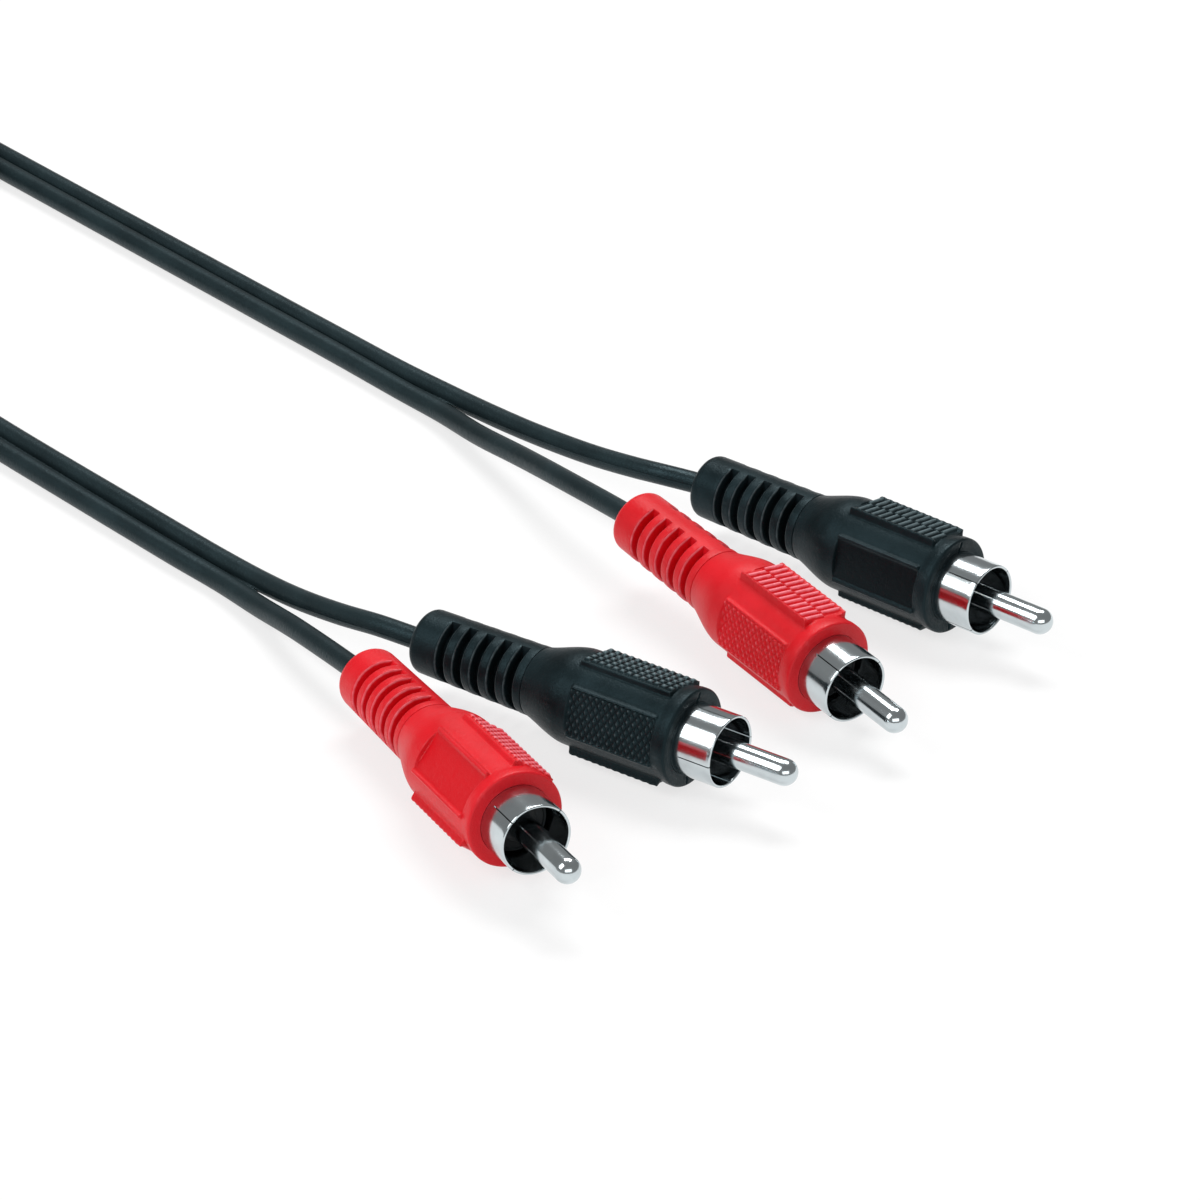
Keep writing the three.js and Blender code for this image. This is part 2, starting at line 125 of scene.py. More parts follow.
class Finish:
    """A material of this lead, made from nodes."""

    def __init__(self, name):
        self.material = bpy.data.materials.new(name)
        self.material.use_nodes = True
        self.tree = self.material.node_tree
        self.tree.nodes.clear()

    def node(self, kind, settings=(), sockets=(), out=0):
        node = self.tree.nodes.new(kind)
        for key, value in dict(settings).items():
            if key == "stops":
                self.set_stops(node.color_ramp, value)
            else:
                setattr(node, key, value)
        for key, value in dict(sockets).items():
            if isinstance(value, Value):
                self.tree.links.new(value.socket, node.inputs[key])
            else:
                node.inputs[key].default_value = value
        return Value(self, node.outputs[out]) if node.outputs else None

    def set_stops(self, ramp, stops):
        while len(ramp.elements) < len(stops):
            ramp.elements.new(1)
        for element, (place, level) in zip(ramp.elements, stops):
            element.position = place
            element.color = (level, level, level, 1)

    def place(self):
        return self.node("ShaderNodeTexCoord", out="Object")

    def stretched(self, place, scale):
        return self.node(
            "ShaderNodeMapping", {"vector_type": "POINT"}, {"Vector": place, "Scale": scale}
        )

    def speckle(self, place, per_metre, detail, rough):
        return self.node(
            "ShaderNodeTexNoise",
            {"noise_dimensions": "3D"},
            {"Vector": place, "Scale": per_metre, "Detail": detail, "Roughness": rough},
        )

    def ramp(self, value, stops):
        return self.node("ShaderNodeValToRGB", {"stops": stops}, {"Fac": value})

    def blend(self, share, first, second):
        return self.node(
            "ShaderNodeMix",
            {"data_type": "RGBA", "clamp_factor": True},
            {0: share, 6: first, 7: second},
            out=2,
        )

    def relief(self, height, depth, strength):
        return self.node(
            "ShaderNodeBump", {}, {"Height": height, "Distance": depth, "Strength": strength}
        )

    def surface(self, sockets):
        shader = self.node("ShaderNodeBsdfPrincipled", {}, sockets)
        self.node("ShaderNodeOutputMaterial", {}, {"Surface": shader})
        return self.material


# Speckles per metre, and the stops of the ramps. Pointiness is 0.5 on a flat face, more on
# outer edges and less in inner corners.
GRAIN_SCALE, SKIN_SCALE, CLOUD_SCALE = 5200, 1300, 160
# Painted highlight: outer edges are lightened towards the pale colour, as a glint along them
EDGE_HIGHLIGHT_STOPS = [(0.505, 0), (0.56, 1)]
# Painted shade: inner corners are darkened towards the deep colour
SHADED_CORNER_STOPS = [(0.44, 1), (0.497, 0)]
# Painted highlight on the tips of ribs and knobs, where the grip mark is high
TIP_HIGHLIGHT_STOPS = [(0.45, 0), (1, 1)]
FLOW_CLOUD = [(0.35, 0), (0.7, 1)]
# How much of the painted edge highlight, the painted tip highlight and the painted corner shade
# is laid on
EDGE_HIGHLIGHT_SHARE, TIP_HIGHLIGHT_SHARE, CORNER_SHADE_SHARE = 0.04, 0.8, 0.6
GRAIN_DEPTH, GRAIN_STRENGTH = 0.00005, 0.75


def moulding(name, colour, deep, pale, roughness, tint=(1, 1, 1, 1), sheen=0.3, coarse=1.0):
    """Soft moulded plastic: fine grain, faint flow clouds, paler edges, ribs and knobs as
    painted highlights, and painted shade in inner corners.

    The mark "grip" is 1 on the tip of a rib or knob, where a highlight is painted, and -1 on
    the bare panel, which is painted darker as a painted dark reflection.
    """
    finish = Finish(name)
    place = finish.place()
    grain = finish.speckle(place, GRAIN_SCALE * coarse, 3, 0.6)
    skin = finish.speckle(place, SKIN_SCALE * coarse, 2, 0.5)
    cloud = finish.speckle(place, CLOUD_SCALE, 3, 0.55)
    edge = finish.node("ShaderNodeNewGeometry", out="Pointiness")
    # Painted highlight along outer edges, which are also made a little less rough
    edge_highlight = finish.ramp(edge, EDGE_HIGHLIGHT_STOPS)
    # Painted shade in inner corners
    corner_shade = finish.ramp(edge, SHADED_CORNER_STOPS)
    grip = finish.node("ShaderNodeAttribute", {"attribute_name": "grip"}, out="Fac")
    # Painted highlight on rib and knob tips, read from the grip mark
    tip_highlight = finish.ramp(grip + (skin - 0.5) * 0.5, TIP_HIGHLIGHT_STOPS)
    # The bare panel is painted darker towards the deep colour as a painted dark reflection, and
    # made less rough
    bare = (0 - grip).larger(0)
    clouded = finish.blend(finish.ramp(cloud, FLOW_CLOUD), deep, colour)
    smooth = finish.blend(bare, clouded, deep)
    # Painted highlights: edges and tips lightened towards the pale colour
    highlighted = finish.blend((edge_highlight * EDGE_HIGHLIGHT_SHARE).larger(tip_highlight * TIP_HIGHLIGHT_SHARE), smooth, pale)
    rough = (cloud - 0.5) * 0.16 + (grain - 0.5) * 0.12 + roughness
    return finish.surface(
        {
            # The base colour, with painted shade darkening inner corners towards the deep colour
            "Base Color": finish.blend(corner_shade * CORNER_SHADE_SHARE, highlighted, deep),
            "Roughness": rough - edge_highlight.larger(tip_highlight) * 0.1 - bare * 0.08,
            "IOR": 1.5,
            "Specular IOR Level": sheen,
            "Specular Tint": tint,
            "Normal": finish.relief(grain * 1.1 + skin, GRAIN_DEPTH, GRAIN_STRENGTH),
        }
    )


TURNING_SCALE, STAIN_SCALE = 9000, 420
TURNING_DEPTH, TURNING_STRENGTH = 0.000004, 0.35


def plating(name, colour, dull):
    """Bright plate on turned metal. The mark "along" puts its fine marks round the axis."""
    finish = Finish(name)
    place = finish.place()
    along = finish.node("ShaderNodeAttribute", {"attribute_name": "along"}, out="Fac")
    marks = finish.node(
        "ShaderNodeTexNoise",
        {"noise_dimensions": "1D"},
        {"W": along, "Scale": TURNING_SCALE, "Detail": 3, "Roughness": 0.6},
    )
    stain = finish.speckle(place, STAIN_SCALE, 3, 0.55)
    patch = finish.ramp(stain, [(0.45, 0), (0.75, 1)])
    return finish.surface(
        {
            "Base Color": finish.blend(patch * 0.5, colour, dull),
            "Metallic": 1.0,
            "Roughness": patch * 0.06 + (marks - 0.5) * 0.05 + 0.14,
            "Normal": finish.relief(marks, TURNING_DEPTH, TURNING_STRENGTH),
        }
    )


WIRE_SCALES = (500, 6000, 6000)


def strand_copper():
    """Bare copper wires in a bundle, drawn out along X."""
    finish = Finish("bare_copper")
    place = finish.place()
    wires = finish.speckle(finish.stretched(place, WIRE_SCALES), 1, 2, 0.5)
    return finish.surface(
        {
            "Base Color": finish.blend(wires, (0.45, 0.16, 0.07, 1), (0.76, 0.34, 0.16, 1)),
            "Metallic": 1.0,
            "Roughness": (wires - 0.5) * 0.2 + 0.3,
            "Normal": finish.relief(wires, 0.00005, 0.6),
        }
    )


COOL = (0.52, 0.88, 1, 1)
RED = moulding(
    "red_moulding",
    (0.72, 0.007, 0.016, 1),
    (0.62, 0.004, 0.01, 1),
    (1, 0.3, 0.36, 1),
    0.4,
    sheen=0.24,
)
BLACK = moulding(
    "black_moulding",
    (0.0105, 0.02, 0.0235, 1),
    (0.0028, 0.0062, 0.0075, 1),
    (0.15, 0.2, 0.215, 1),
    0.38,
    tint=COOL,
    sheen=0.15,
)
JACKET = moulding(
    "cord_jacket",
    (0.0115, 0.0205, 0.0235, 1),
    (0.0075, 0.013, 0.015, 1),
    (0.05, 0.07, 0.076, 1),
    0.42,
    tint=COOL,
    sheen=0.25,
    coarse=0.8,
)
INSULATOR = moulding(
    "insulator_moulding",
    (0.008, 0.0095, 0.0105, 1),
    (0.005, 0.006, 0.007, 1),
    (0.02, 0.023, 0.025, 1),
    0.45,
)
CREAM = moulding(
    "inner_moulding", (0.68, 0.67, 0.62, 1), (0.6, 0.58, 0.52, 1), (0.75, 0.74, 0.7, 1), 0.5
)
CORE = moulding(
    "core_insulation", (0.78, 0.76, 0.7, 1), (0.7, 0.67, 0.6, 1), (0.84, 0.83, 0.79, 1), 0.45
)
NICKEL = plating("nickel_plate", (0.6, 0.66, 0.68, 1), (0.46, 0.5, 0.52, 1))
COPPER = strand_copper()

FINISH_OF_SLOT = {
    "red_plastic": RED,
    "black_plastic": BLACK,
    "plated_metal": NICKEL,
    "insulator": INSULATOR,
    "inner_mould": CREAM,
    "cord_jacket": JACKET,
    "core_insulation": CORE,
    "copper": COPPER,
}


# ---------------------------------------------------------------- mesh building


def make_piece(name, points, faces, finish, place=None, marks=(), crease=38):
    """A mesh piece from points in metres, set at its place, with its faces turned outwards.

    Marks are named lists of one number per point, which the finish reads.
    """
    mesh = bpy.data.meshes.new(name)
    mesh.from_pydata([place @ Vector(p) for p in points] if place else points, [], faces)
    for mark, values in dict(marks).items():
        mesh.attributes.new(mark, "FLOAT", "POINT").data.foreach_set("value", values)
    work = bmesh.new()
    work.from_mesh(mesh)
    bmesh.ops.recalc_face_normals(work, faces=work.faces)
    work.to_mesh(mesh)
    work.free()
    mesh.polygons.foreach_set("use_smooth", [True] * len(mesh.polygons))
    mesh.set_sharp_from_angle(angle=math.radians(crease))
    mesh.materials.append(finish)
    piece = bpy.data.objects.new(name, mesh)
    scene.collection.objects.link(piece)
    return piece


def loop_faces(rows, columns, close_rows):
    """Quads of a grid whose rows are rings; the last row joins the first where it closes."""
    faces = []
    for i in range(rows if close_rows else rows - 1):
        low, high = i * columns, (i + 1) % rows * columns
        for j in range(columns):
            k = (j + 1) % columns
            faces.append((low + j, low + k, high + k, high + j))
    return faces


def ease(value):
    """From 0 to 1 with a soft start and end."""
    value = min(1.0, max(0.0, value))
    return value * value * (3 - 2 * value)


def soft_smaller(a, b, width):
    """The smaller of two numbers, with the corner between them rounded over a width."""
    overlap = max(width - abs(a - b), 0) / width
    return min(a, b) - overlap * overlap * width / 4


def soft_larger(a, b, width):
    """The larger of two numbers, rounded in the same way."""
    return -soft_smaller(-a, -b, width)


def wave(value):
    """A triangle wave, 0 at whole numbers and 1 halfway between them."""
    return 1 - abs(2 * (value % 1) - 1)


# ---------------------------------------------------------------- plug measures, in millimetres

# Places along the axis count from the front face, and are negative behind it.
FRONT_EDGE = 0.32
COLLAR_RADIUS, COLLAR_LENGTH = 5.95, 2.0
COLLAR_FALL, COLLAR_FALL_START, COLLAR_FALL_LENGTH = 0.15, -0.8, 1.15
BODY_RADIUS, BODY_REAR = 5.8, -15.6
BOOT_FRONT, BOOT_REAR = -21.5, -38.1
BOOT_FRONT_RADIUS, BOOT_REAR_RADIUS, BOOT_ROUND = 4.2, 3.93, 0.95
SLOT_MIDDLES = [-23.35, -25.85, -28.35, -30.85, -33.35]
SLOT_HALF, SLOT_FLOOR, SLOT_WALL, SPINE_HALF, SPINE_FOOT = 0.6, 2.6, 0.05, 1.15, 0.35
BOOT_RIB_ROUND, BOOT_RIB_DROP = 0.32, 0.16
FLARE_STEPS, FLARE_PULL, FLARE_LIFT = 18, 0.3, 0.4

PAD_REAR, PAD_HEIGHT, PLATE_HALF, PLATE_ROUND, PLATE_END = -14.5, 6.0, 3.05, 0.3, 0.16
PANEL_REAR, PANEL_HEIGHT, PANEL_FRAME, PANEL_RECESS, PANEL_STEP = -14.0, 5.5, 0.42, 0.26, 0.16
KNOB_PANEL_END, KNOB_PANEL_FOOT, PLATE_FOOT, PLATE_LAP = 0.4, 0.7, 0.22, 0.1
RIBS, RIB_HEIGHT, RIB_FLAT, RIB_POWER = 12, 0.4, 1.15, 1.1
RIB_SPLIT, RIB_SPLIT_SLOPE, RIB_SPLIT_SKEW = 0.02, 0.11, 0.1
RIB_SIDE, RIB_SIDE_SLOPE, RIB_SIDE_SHARE = 0.1, 0.35, 0.2
# Knobs along and across a field, and their height
PAD_KNOBS, PANEL_KNOBS = (13, 5, 0.34), (27, 9, 0.28)
PAD_INSET, PAD_KNOB_FLAT, PAD_KNOB_POWER = 0.2, 1.3, 0.85
PANEL_INSET, PANEL_INSET_SLOPE, PANEL_KNOB_FLAT = 0.06, 0.2, 1.1
# Grip marks: how strongly the finish paints a highlight on a panel's knob tips and on a boot
# rib's edges
PANEL_KNOB_HIGHLIGHT, BOOT_RIB_EDGE_HIGHLIGHT = 0.7, 0.7

CAVITY_RADIUS, CAVITY_FRONT, CORD_BORE = 4.65, -1.4, 1.5
LIP_RADIUS, LIP_DEPTH = 4.36, {"red": 0.0, "black": 0.14}
NOTCH_HALF, NOTCH_DEPTH = 0.12, {"red": 0.0, "black": 0.3}
CORD_LIP, CORD_LIP_LENGTH, CORD_SAG = 1.3, 0.7, 0.32
MOULD_SHOULDER, MOULD_END, MOULD_REAR_RADIUS = -10.8, -19.3, 3.2
COLUMNS, GRIP_ROWS, GRIP_STEP = 320, 128, 0.1

PIN_RADIUS, PIN_REACH, PIN_STEM, PIN_STEM_REAR = 1.6, 14.2, 0.9, -9.0
PIN_SHOULDER, CUP_RADIUS, CUP_DEPTH = 0.3, 0.55, 1.6
SHELL_RADIUS, SHELL_WALL, SHELL_REACH, SHELL_REAR = 4.35, 0.35, 5.2, -3.7
NECK_RADIUS, NECK_REAR = 2.4, -6.9
SHELL_SIDES, SHELL_REAR_ROUND = 96, 0.4
SLITS, SLIT_LENGTH, SLIT_WIDTH = 4, 4.3, 0.14
INSULATOR_FACE, INSULATOR_RADIUS, INSULATOR_HUB, INSULATOR_BORE = 0.6, 3.7, 1.75, 1.2
INSULATOR_GROOVE = 0.12


# ---------------------------------------------------------------- moulded body


def rib_share(along, across):
    """Cross ribs in two rows, one half a pitch ahead of the other, with a groove between."""
    pitch = (PAD_REAR + COLLAR_LENGTH) / -(RIBS + 0.5)
    turn = (along - PAD_REAR) / pitch - (0 if across > 0 else 0.5)
    ridge = min(1.0, RIB_FLAT * wave(turn)) ** RIB_POWER if 0 < turn < RIBS else 0.0
    from_split = abs(across + RIB_SPLIT_SKEW * (wave(turn) - 0.5))
    return ridge * ease((from_split - RIB_SPLIT) / RIB_SPLIT_SLOPE)


def knob_share(along, across):
    """Pyramids in straight rows on a pad, a little in from its sides."""
    columns, rows, _ = PAD_KNOBS
    half = PLATE_HALF - PAD_INSET
    if abs(across) > half:
        return 0.0
    a = wave((along - PAD_REAR) / (-COLLAR_LENGTH - PAD_REAR) * columns)
    b = wave((across + half) / (2 * half) * rows)
    return min(1.0, PAD_KNOB_FLAT * min(a, b)) ** PAD_KNOB_POWER


def diamond_share(along, across):
    """Pyramids in staggered rows on a panel, cut by two crossing sets of slanting grooves."""
    columns, rows, _ = PANEL_KNOBS
    u = (along - PANEL_REAR) / (-COLLAR_LENGTH - PANEL_REAR) * columns
    v = (across + PLATE_HALF) / (2 * PLATE_HALF) * rows
    return min(1.0, PANEL_KNOB_FLAT * min(wave((u + v) / 2), wave((u - v) / 2 + 0.5)))


def pad_top(along, across, knobbed):
    """How far a pad's top lies from the axis, measured square to it, and its grip mark: 1 on
    the tip of a rib or a knob, 0 between them. The mark paints a highlight on the tips."""
    if knobbed:
        share = knob_share(along, across)
        return PAD_HEIGHT - PAD_KNOBS[2] * (1 - share), share
    share = rib_share(along, across)
    from_side = ease((PLATE_HALF - RIB_SIDE - abs(across)) / RIB_SIDE_SLOPE)
    depth = RIB_SIDE_SHARE + (1 - RIB_SIDE_SHARE) * from_side
    return PAD_HEIGHT - RIB_HEIGHT * (1 - share) * depth, share * depth


def panel_top(along, across, knobbed):
    """The same for a panel: knobbed, or bare between two raised edges, with the mark at -1,
    which paints the bare panel darker as a painted dark reflection. On knobs the mark paints a
    highlight.
    """
    side = PLATE_HALF - abs(across)
    if knobbed:
        inside = min(side, -COLLAR_LENGTH - along, along - PANEL_REAR)
        share = diamond_share(along, across) * ease((inside - PANEL_INSET) / PANEL_INSET_SLOPE)
        # The mark paints a highlight on the knob tips
        return PANEL_HEIGHT - PANEL_KNOBS[2] * (1 - share), PANEL_KNOB_HIGHLIGHT * share
    sunk = ease((side - PANEL_FRAME) / PANEL_STEP + 0.5)
    # The mark of -1 paints the bare panel darker as a painted dark reflection
    return PANEL_HEIGHT - PANEL_RECESS * sunk, -sunk


def slot_share(x):
    """How far a strain relief slot is cut at a place along the boot, from 0 to 1."""
    inside = SLOT_HALF - min(abs(x - middle) for middle in SLOT_MIDDLES)
    if inside < -BOOT_RIB_ROUND:
        return 0.0
    if inside < 0:
        return BOOT_RIB_DROP * (1 - math.sqrt(1 - (inside / BOOT_RIB_ROUND + 1) ** 2))
    return BOOT_RIB_DROP + (1 - BOOT_RIB_DROP) * ease(inside / SLOT_WALL)


def flat_wall(half, angle):
    """How far from the axis a flat wall at that distance is met, at an angle off its plane."""
    return half / max(abs(math.sin(angle)), 0.01)


def boot_skin(x, radius, angle):
    """The skin's distance from the axis on the slotted boot, and its grip mark, which paints a
    highlight along the edges of the ribs.
    """
    share = slot_share(x)
    if not share:
        return radius, 0.0
    spine = flat_wall(SPINE_HALF, math.radians(angle))
    floor = min(radius, soft_larger(SLOT_FLOOR, spine, SPINE_FOOT))
    # Painted highlight along each rib's edge beside a slot
    on_edge = 0.2 * BOOT_RIB_DROP < share <= BOOT_RIB_DROP and floor < radius - 0.4
    return radius + (floor - radius) * share, BOOT_RIB_EDGE_HIGHLIGHT if on_edge else 0.0


def grip_skin(x, radius, angle, knob_side):
    """The same in front of the boot, where two pads and two panels stand out of the round."""
    side = round(angle / 90) % 4
    lean = math.radians((angle - side * 90 + 180) % 360 - 180)
    is_pad = side in (0, 2)
    rear, height = (PAD_REAR, PAD_HEIGHT) if is_pad else (PANEL_REAR, PANEL_HEIGHT)
    knobbed = side == (2 if is_pad else knob_side)
    sloping = knobbed and not is_pad
    end = KNOB_PANEL_END if sloping else PLATE_END
    front = -COLLAR_LENGTH
    out = ease((front + PLATE_LAP - x) / end) * ease((x - rear + PLATE_LAP) / end)
    if not out:
        return radius, 0.0
    across = math.tan(lean) * height
    reach = math.copysign(min(abs(across), PLATE_HALF), across)
    inside_x = min(max(x, rear), front)
    top, grip = (pad_top if is_pad else panel_top)(inside_x, reach, knobbed)
    plate = soft_smaller(top / math.cos(lean), flat_wall(PLATE_HALF, lean), PLATE_ROUND)
    if abs(across) >= PLATE_HALF:
        plate = soft_larger(plate, radius, KNOB_PANEL_FOOT if sloping else PLATE_FOOT)
        grip = 0.0
    return radius + (plate - radius) * out, grip * out


def skin_at(x, radius, angle, knob_side):
    """The skin's distance from the axis at an angle from the ribbed pad's middle towards +Y,
    and its grip mark."""
    if x <= BOOT_FRONT:
        return boot_skin(x, radius, angle)
    return grip_skin(x, radius, angle, knob_side)


def flare_line():
    """The smooth taper from the grip down to the boot."""
    pull = FLARE_PULL * (BOOT_FRONT - BODY_REAR)
    knots = [
        (BODY_REAR, BODY_RADIUS),
        (BODY_REAR + pull, BODY_RADIUS),
        (BOOT_FRONT - pull, BOOT_FRONT_RADIUS + FLARE_LIFT),
        (BOOT_FRONT, BOOT_FRONT_RADIUS),
    ]
    line = []
    for k in range(FLARE_STEPS + 1):
        t = k / FLARE_STEPS
        weights = ((1 - t) ** 3, 3 * t * (1 - t) ** 2, 3 * t * t * (1 - t), t**3)
        line.append(tuple(sum(w * knot[c] for w, knot in zip(weights, knots)) for c in (0, 1)))
    return line


# Rows on the collar, and on the plain stretches behind the grip and on the boot
COLLAR_ROWS = (-0.7, -1.0, -1.3, -1.6, -1.75, -1.85, -1.92)
REAR_ROWS = (-14.9, -15.25)
PLAIN_BOOT_ROWS = (-22.05, -34.6, -35.2, -35.8, -36.4, -36.9)
# The thin groove where the flare meets the boot: places from the boot's front, and depths
JOINT_GROOVE = ((0.13, 0.02), (0.08, 0), (0.04, -0.1), (-0.04, -0.1), (-0.08, -0.01), (-0.14, 0))
# Rows from a slot's middle out to the rounded edge of the rib beside it
SLOT_ROWS = (0, 0.3, 0.55, 0.57, 0.585, 0.6, 0.62, 0.65, 0.7, 0.76, 0.84, 0.92)


def boot_rows():
    """Rows of the boot, close together at the slots' edges, up to its round rear end."""
    slope = (BOOT_FRONT_RADIUS - BOOT_REAR_RADIUS) / (BOOT_FRONT - BOOT_REAR - BOOT_ROUND)
    offsets = SLOT_ROWS + tuple(-offset for offset in SLOT_ROWS)
    places = [middle - offset for middle in SLOT_MIDDLES for offset in offsets]
    places = sorted(set(places).union(PLAIN_BOOT_ROWS), reverse=True)
    rows = [(x, BOOT_FRONT_RADIUS - slope * (BOOT_FRONT - x)) for x in places]
    for k in range(7):
        turn = math.radians(15 * k)
        x = BOOT_REAR + BOOT_ROUND * (1 - math.sin(turn))
        rows.append((x, BOOT_REAR_RADIUS - BOOT_ROUND * (1 - math.cos(turn))))
    return rows


def skin_rows():
    """Place and round radius of each row of the skin, from the front face to the rear end."""
    rows = []
    for k in range(6):
        turn = math.radians(18 * k)
        x = FRONT_EDGE * (math.cos(turn) - 1)
        rows.append((x, COLLAR_RADIUS + FRONT_EDGE * (math.sin(turn) - 1)))
    for x in COLLAR_ROWS:
        fall = ease((COLLAR_FALL_START - x) / COLLAR_FALL_LENGTH)
        rows.append((x, COLLAR_RADIUS - COLLAR_FALL * fall))
    grip_front = -COLLAR_LENGTH + 0.03
    rows += [(grip_front - k * GRIP_STEP, BODY_RADIUS) for k in range(GRIP_ROWS)]
    rows += [(x, BODY_RADIUS) for x in REAR_ROWS]
    rows += flare_line()[:-1]
    rows += [(BOOT_FRONT + along, BOOT_FRONT_RADIUS + out) for along, out in JOINT_GROOVE]
    return rows + boot_rows()


def grip_angles():
    """Angles of the skin's columns, evenly spread along the outline round the pads."""
    samples = 3600
    outline = []
    for k in range(samples + 1):
        angle = 360 * k / samples
        lean = math.radians(angle - 90 * round(angle / 90))
        is_pad = round(angle / 90) % 2 == 0
        height = PAD_HEIGHT if is_pad else PANEL_HEIGHT
        radius = max(BODY_RADIUS, min(height / math.cos(lean), flat_wall(PLATE_HALF, lean)))
        turn = math.radians(angle)
        outline.append((radius * math.sin(turn), radius * math.cos(turn)))
    run = [0.0]
    for a, b in zip(outline, outline[1:]):
        run.append(run[-1] + math.dist(a, b))
    angles, k = [], 0
    for j in range(COLUMNS):
        goal = run[-1] * j / COLUMNS
        while run[k + 1] < goal:
            k += 1
        share = (goal - run[k]) / (run[k + 1] - run[k])
        angles.append(360 * (k + share) / samples)
    return angles


def hollow_profile(lip):
    """Place and radius of the hollow, from the cord's hole round to the mouth at the front."""
    return [
        (BOOT_REAR, CORD_LIP + 0.12),
        (BOOT_REAR + 0.1, CORD_LIP),
        (BOOT_REAR + CORD_LIP_LENGTH, CORD_LIP),
        (BOOT_REAR + CORD_LIP_LENGTH, CORD_BORE),
        (MOULD_END, CORD_BORE),
        (MOULD_END, MOULD_REAR_RADIUS),
        (MOULD_SHOULDER, CAVITY_RADIUS),
        (CAVITY_FRONT, CAVITY_RADIUS),
        (CAVITY_FRONT, LIP_RADIUS),
        (-lip - 0.03, LIP_RADIUS),
        (-lip, LIP_RADIUS + 0.03),
        (-lip, LIP_RADIUS + 0.25),
        (-lip * 0.8, LIP_RADIUS + 0.4),
        (-lip * 0.3, LIP_RADIUS + 0.55),
        (0, LIP_RADIUS + 0.72),
        (0, LIP_RADIUS + 0.9),
    ]


def make_body(name, place, finish, colour):
    """The moulding of one plug: rim, grip, flare, slotted boot and the hollow inside."""
    angles = grip_angles()
    turns = [(math.sin(math.radians(a)), math.cos(math.radians(a))) for a in angles]
    rings, grips = [], []
    for x, radius in skin_rows():
        skin = [skin_at(x, radius, a, KNOB_SIDE[colour]) for a in angles]
        rings.append([(x, r * s, r * c) for (s, c), (r, _) in zip(turns, skin)])
        grips += [grip for _, grip in skin]
    down = place.to_3x3().inverted() @ Vector((0, 0, -CORD_SAG))
    for x, radius in hollow_profile(LIP_DEPTH[colour]):
        notch = NOTCH_DEPTH[colour] if x > CAVITY_FRONT else 0
        low = down if x < MOULD_END - 1 else Vector()
        cuts = [notch * ease(1.5 - abs(radius * s) / NOTCH_HALF) for s, _ in turns]
        rings.append(
            [
                (x - cut, radius * s + low.y, radius * c + low.z)
                for cut, (s, c) in zip(cuts, turns)
            ]
        )
    points = [tuple(MM * c for c in point) for ring in rings for point in ring]
    grips += [0.0] * (len(points) - len(grips))
    faces = loop_faces(len(rings), COLUMNS, True)
    return make_piece(name, points, faces, finish, place, {"grip": grips})


# ---------------------------------------------------------------- metal parts and insulator


def turn_profile(profile, angles):
    """Points of a profile of (place, radius) turned round the axis."""
    return [
        (MM * x, MM * r * math.sin(math.radians(a)), MM * r * math.cos(math.radians(a)))
        for x, r in profile
        for a in angles
    ]


def along_axis(points):
    """The mark that the plating reads: each point's place along the axis."""
    return {"along": [point[0] for point in points]}


def make_turned(name, place, finish, profile, sides=64):
    """A turned piece; a profile that starts and ends on the axis is closed there."""
    angles = [360 * k / sides for k in range(sides)]
    on_axis = profile[0][1] == 0
    if not on_axis:
        points = turn_profile(profile, angles)
        faces = loop_faces(len(profile), sides, True)
        return make_piece(name, points, faces, finish, place, along_axis(points))
    points = turn_profile(profile[1:-1], angles)
    faces = loop_faces(len(profile) - 2, sides, False)
    for end, row in ((profile[0], 0), (profile[-1], len(profile) - 3)):
        points.append((MM * end[0], 0, 0))
        for j in range(sides):
            faces.append((len(points) - 1, row * sides + j, row * sides + (j + 1) % sides))
    return make_piece(name, points, faces, finish, place, along_axis(points))


def arc(x, r, radius, start, end, steps):
    """Points of a rounded edge about (x, r), from one angle to another above the axis line."""
    return [
        (
            x + radius * math.cos(math.radians(start + (end - start) * k / steps)),
            r + radius * math.sin(math.radians(start + (end - start) * k / steps)),
        )
        for k in range(steps + 1)
    ]


def shell_profiles():
    """Place and radius round the slit front of the shell, and then round its rear."""
    outer, inner = SHELL_RADIUS, SHELL_RADIUS - SHELL_WALL
    half_wall = SHELL_WALL / 2
    stations = [SHELL_REACH - SLIT_LENGTH, 2.0, 3.2, 4.4]
    front = [(x, outer) for x in stations]
    front += arc(SHELL_REACH - half_wall, outer - half_wall, half_wall, 90, -90, 8)
    front += [(x, inner) for x in reversed(stations)]
    back = [
        (SHELL_REAR + SHELL_WALL, inner),
        (SHELL_REAR + SHELL_WALL, NECK_RADIUS - SHELL_WALL),
        (NECK_REAR, NECK_RADIUS - SHELL_WALL),
        (NECK_REAR, NECK_RADIUS),
        (SHELL_REAR, NECK_RADIUS),
    ]
    back += arc(
        SHELL_REAR + SHELL_REAR_ROUND, outer - SHELL_REAR_ROUND, SHELL_REAR_ROUND, 180, 90, 4
    )
    return front, back


